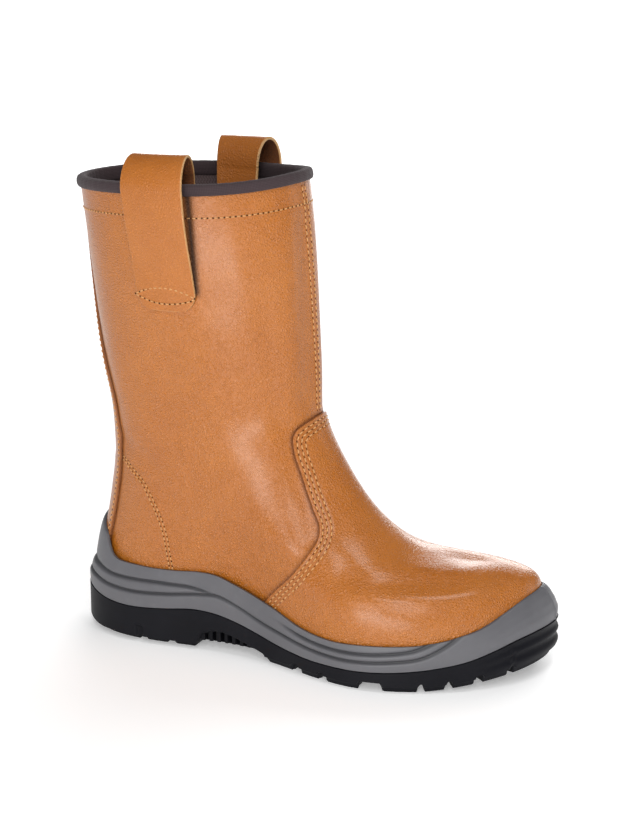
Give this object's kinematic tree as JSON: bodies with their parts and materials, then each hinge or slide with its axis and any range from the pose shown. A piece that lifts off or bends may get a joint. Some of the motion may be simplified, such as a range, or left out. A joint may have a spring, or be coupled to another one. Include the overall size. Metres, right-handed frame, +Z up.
{
  "type": "safety boot",
  "caption": "Pull-on leather safety boot for the right foot, with pull loops at the collar, grey moulded midsole with toe bumper and black lugged outsole.",
  "frame": {"origin": "middle of the bounding box on the floor under the sole", "axes": "+X from heel to toe, +Y towards the inner side of the foot, +Z up"},
  "size_m": [0.3038, 0.1256, 0.3095],
  "materials": {
    "outsole": "matte moulded",
    "midsole": "satin moulded",
    "upper": "smooth grain, soft sheen",
    "vamp": "smooth grain, soft sheen",
    "backstay": "smooth grain",
    "collar_binding": "woven, padded",
    "pull_strap_lateral": "smooth grain, raw edges",
    "pull_strap_medial": "smooth grain, raw edges",
    "insole": "felted"
  },
  "bodies": {
    "root": {"outsole": "outsole", "midsole": "midsole", "upper": "upper", "vamp": "vamp", "backstay": "backstay", "collar_binding": "collar_binding", "pull_strap_lateral": "pull_strap_lateral", "pull_strap_medial": "pull_strap_medial", "insole": "insole"}
  },
  "joints": []
}
